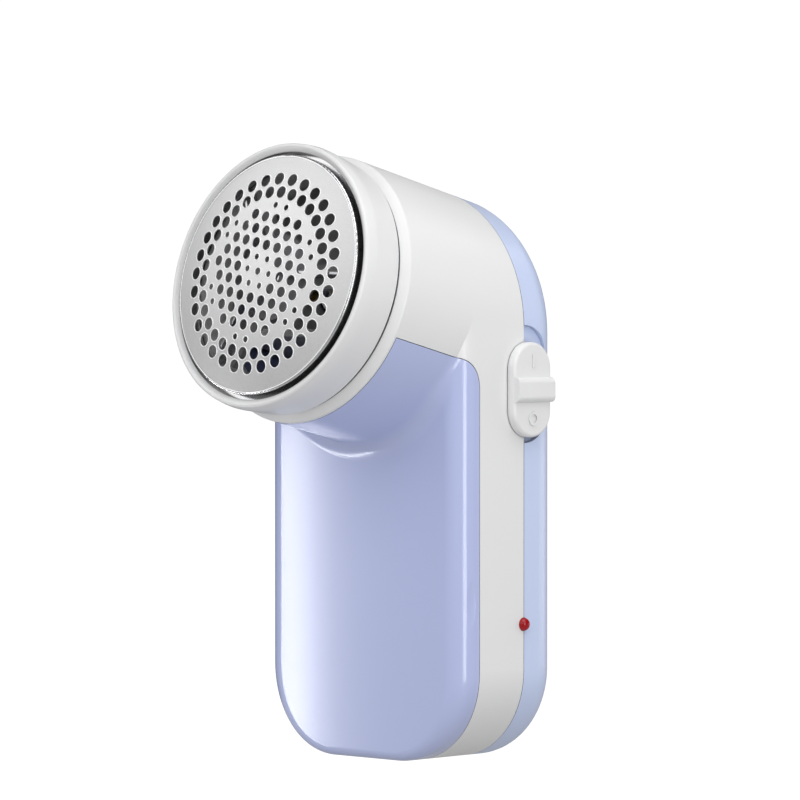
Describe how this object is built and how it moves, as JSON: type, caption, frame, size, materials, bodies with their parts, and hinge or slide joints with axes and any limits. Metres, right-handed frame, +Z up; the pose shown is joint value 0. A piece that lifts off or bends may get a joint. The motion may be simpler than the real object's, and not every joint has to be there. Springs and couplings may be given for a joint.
{
  "type": "fabric shaver",
  "caption": "Handheld rechargeable fabric shaver: tilted round perforated foil head in a collar, upright rounded handle with pull-off lint box, slide switch on the side.",
  "frame": {"origin": "centre of the flat foot the shaver stands on", "axes": "+Z up along the handle, the head faces -Y, the slide switch is on the +X side"},
  "size_m": [0.0602, 0.0646, 0.1282],
  "materials": {
    "case_white": "satin moulded",
    "cover_blue": "satin moulded",
    "box_lavender": "milky translucent",
    "rim_plated": "chrome plated plastic",
    "foil_steel": "satin",
    "blade_steel": "ground",
    "spring_steel": "drawn wire",
    "inner_plastic": "moulded",
    "motor_steel": "zinc plated",
    "magnet_dark": "sintered",
    "brass": "turned",
    "cell_wrap": "shrink wrapped can",
    "board_green": "solder mask",
    "screw_steel": "plated",
    "led_red": "clear tinted",
    "wire_sleeve": "insulation"
  },
  "bodies": {
    "case": {"main_body": "case_white", "rear_cover": "cover_blue", "chamber_plate": "inner_plastic", "motor_can": "motor_steel", "motor_end_cap": "inner_plastic", "motor_terminals": "brass", "motor_magnets": "magnet_dark", "motor_bearings": "brass", "motor_screws": "screw_steel", "battery": "cell_wrap", "battery_contacts": "spring_steel", "circuit_board": "board_green", "charge_socket": "screw_steel", "status_led": "led_red", "slide_switch": "screw_steel", "case_screws": "screw_steel", "wires": "wire_sleeve"},
    "rotor": {"motor_shaft": "blade_steel", "motor_rotor": "motor_steel", "spring_seat": "brass"},
    "cutter": {"cutter_hub": "inner_plastic", "cutter_blades": "blade_steel", "cutter_spring": "spring_steel"},
    "foil_cap": {"foil": "foil_steel", "foil_rim": "rim_plated"},
    "collar": {"collar": "case_white"},
    "switch": {"switch_knob": "case_white", "switch_lever": "inner_plastic"},
    "lint_tray": {"lint_box": "box_lavender"}
  },
  "joints": [
    {"name": "rotor_spin", "type": "hinge", "parent": "case", "child": "rotor", "pos_m": [0, -0.0393, 0.1012], "axis": [0, -0.9728, 0.2317], "continuous": true},
    {"name": "cutter_float", "type": "slide", "parent": "rotor", "child": "cutter", "axis": [0, -0.9728, 0.2317], "range_m": [-0.0008, 0], "stiffness_N_per_m": 400, "springref_m": 0.0015, "deforming": ["cutter_spring"]},
    {"name": "foil_lift", "type": "slide", "parent": "case", "child": "foil_cap", "axis": [0, -0.9728, 0.2317], "range_m": [0, 0.016]},
    {"name": "collar_turn", "type": "hinge", "parent": "foil_cap", "child": "collar", "pos_m": [0, -0.0393, 0.1012], "axis": [0, -0.9728, 0.2317], "range_deg": [0, 30]},
    {"name": "switch_slide", "type": "slide", "parent": "case", "child": "switch", "axis": [0, 0, 1], "range_m": [0, 0.0035]},
    {"name": "lint_box_off", "type": "slide", "parent": "case", "child": "lint_tray", "axis": [0, -0.2317, -0.9728], "range_m": [0, 0.045]}
  ]
}
